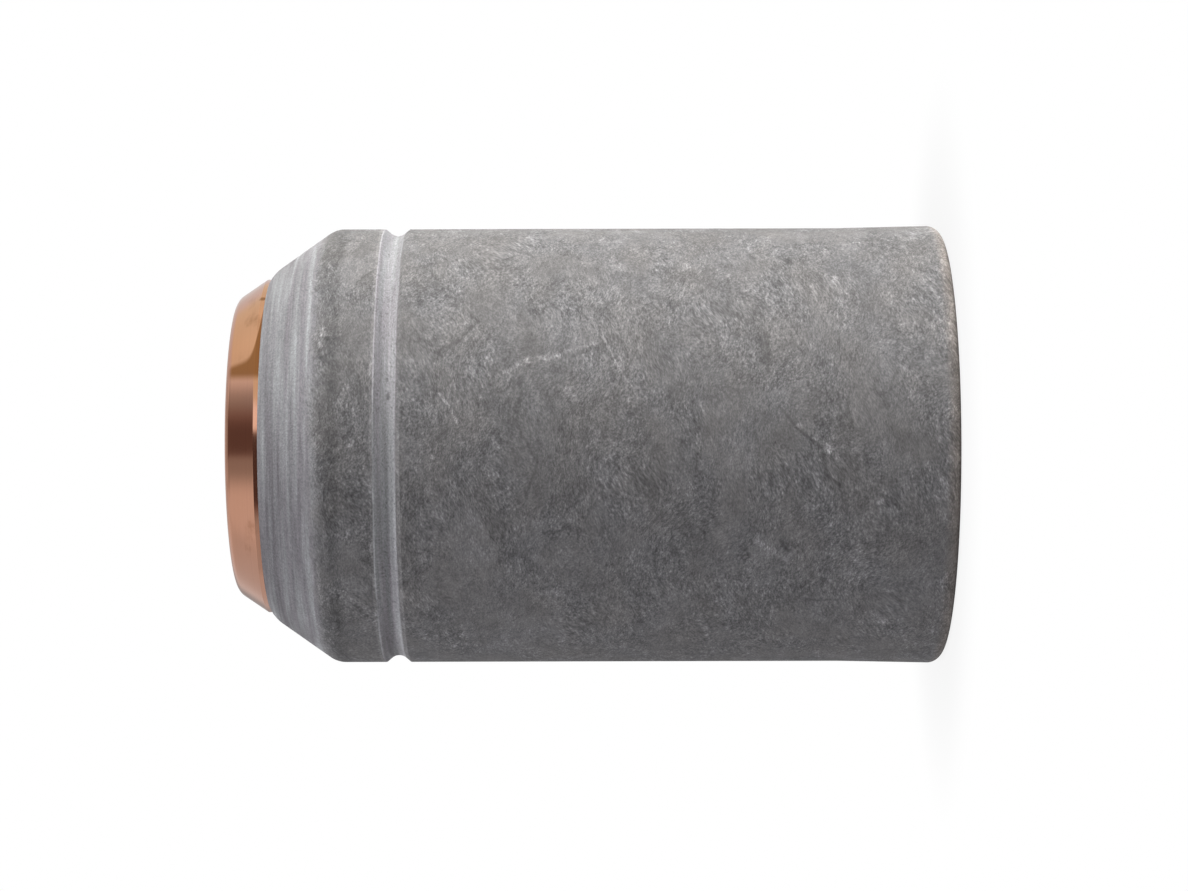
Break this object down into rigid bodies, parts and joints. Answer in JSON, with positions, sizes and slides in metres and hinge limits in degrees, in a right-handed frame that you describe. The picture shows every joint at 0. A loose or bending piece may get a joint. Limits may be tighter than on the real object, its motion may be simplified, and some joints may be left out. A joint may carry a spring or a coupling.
{
  "type": "plasma shield cap",
  "caption": "Round plasma torch shield cap: a grey moulded insulating shell with a chamfered, grooved front around a turned copper insert with a conical nose and a threaded rear bore.",
  "frame": {"origin": "centre of the rear rim, on which the cap stands", "axes": "+Z along the cap's axis towards the copper nose; X and Y are across it"},
  "size_m": [0.038, 0.038, 0.0608],
  "materials": {
    "composite": "fibre-filled moulded composite, satin skin, machined matt at the chamfer and groove",
    "copper": "turned copper, satin"
  },
  "bodies": {
    "root": {"insulating_shell": "composite", "copper_insert": "copper"}
  },
  "joints": []
}
